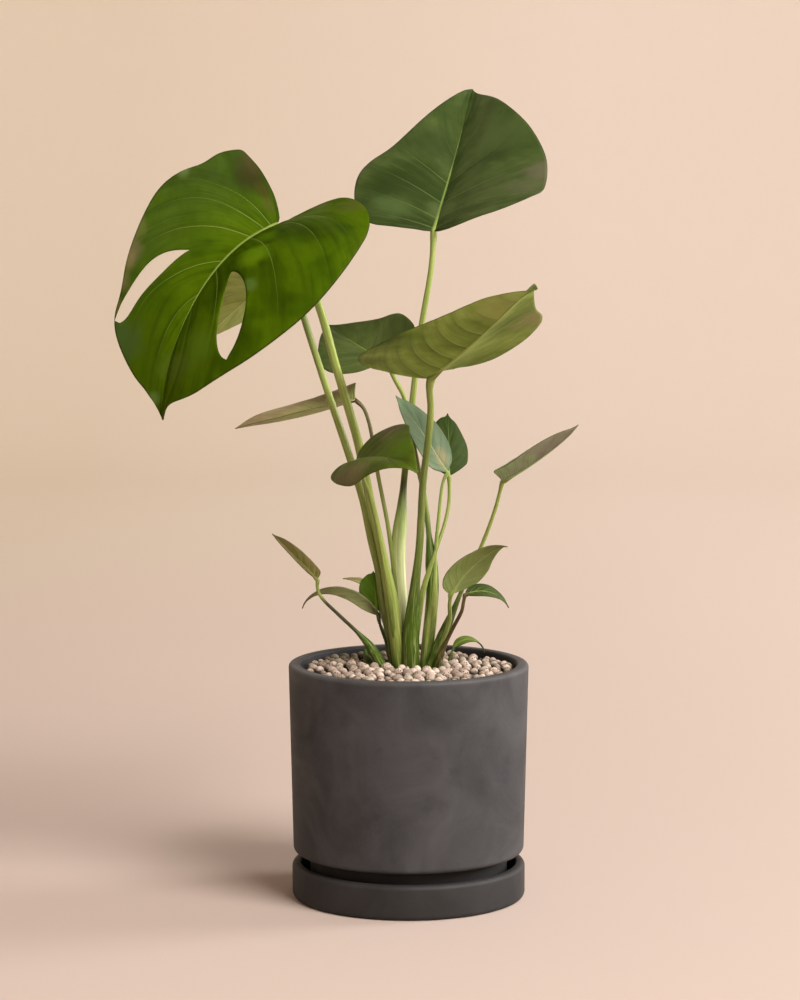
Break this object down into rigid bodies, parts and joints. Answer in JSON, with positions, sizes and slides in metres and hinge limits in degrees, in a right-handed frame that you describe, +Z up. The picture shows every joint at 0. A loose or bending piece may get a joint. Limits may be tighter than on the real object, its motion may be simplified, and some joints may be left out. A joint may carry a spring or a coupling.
{
  "type": "potted monstera plant",
  "caption": "Young monstera with heart-shaped and split leaves on long stalks, growing from gravel-topped soil in a round concrete pot that stands on a matching saucer.",
  "frame": {"origin": "centre of the saucer's flat underside, on the surface that it stands on", "axes": "+Z up along the pot's axis, -Y towards the front of the plant, +X to its right as seen from the front"},
  "size_m": [0.3628, 0.4119, 0.6737],
  "materials": {
    "concrete": "matt dark grey cast concrete with faint blotches and fine pits",
    "soil": "dark loose potting soil",
    "gravel": "rough porous pinkish beige gravel with dark pits",
    "stalk": "smooth striped yellow-green stalks, deep green at their sheaths",
    "leaf_bright": "glossy yellow-green leaf with pale veins",
    "leaf_dark": "satin dark blue-green leaf",
    "leaf_olive": "satin olive leaf, paler and matt on its underside"
  },
  "bodies": {
    "root": {"saucer": "concrete", "pot": "concrete", "potting_soil": "soil", "gravel": "gravel", "stems_main": "stalk", "stem_left": "stalk", "stem_back": "stalk", "leaf_large_cut": "leaf_bright", "leaf_top_back": "leaf_dark", "leaf_behind_large": "leaf_olive", "leaf_middle": "leaf_olive", "leaf_behind_middle": "leaf_dark", "leaf_pale_centre": "leaf_olive", "leaf_dark_centre": "leaf_dark", "leaf_front_folded": "leaf_bright", "leaf_left_long": "leaf_olive", "leaf_right_folded": "leaf_olive", "leaf_low_right": "leaf_olive", "leaf_low_right_arched": "leaf_dark", "leaf_gravel_arched": "leaf_bright", "leaf_low_left": "leaf_olive", "leaf_left_arched": "leaf_olive", "leaf_round_small": "leaf_bright", "leaf_tiny_left": "leaf_olive"}
  },
  "joints": []
}
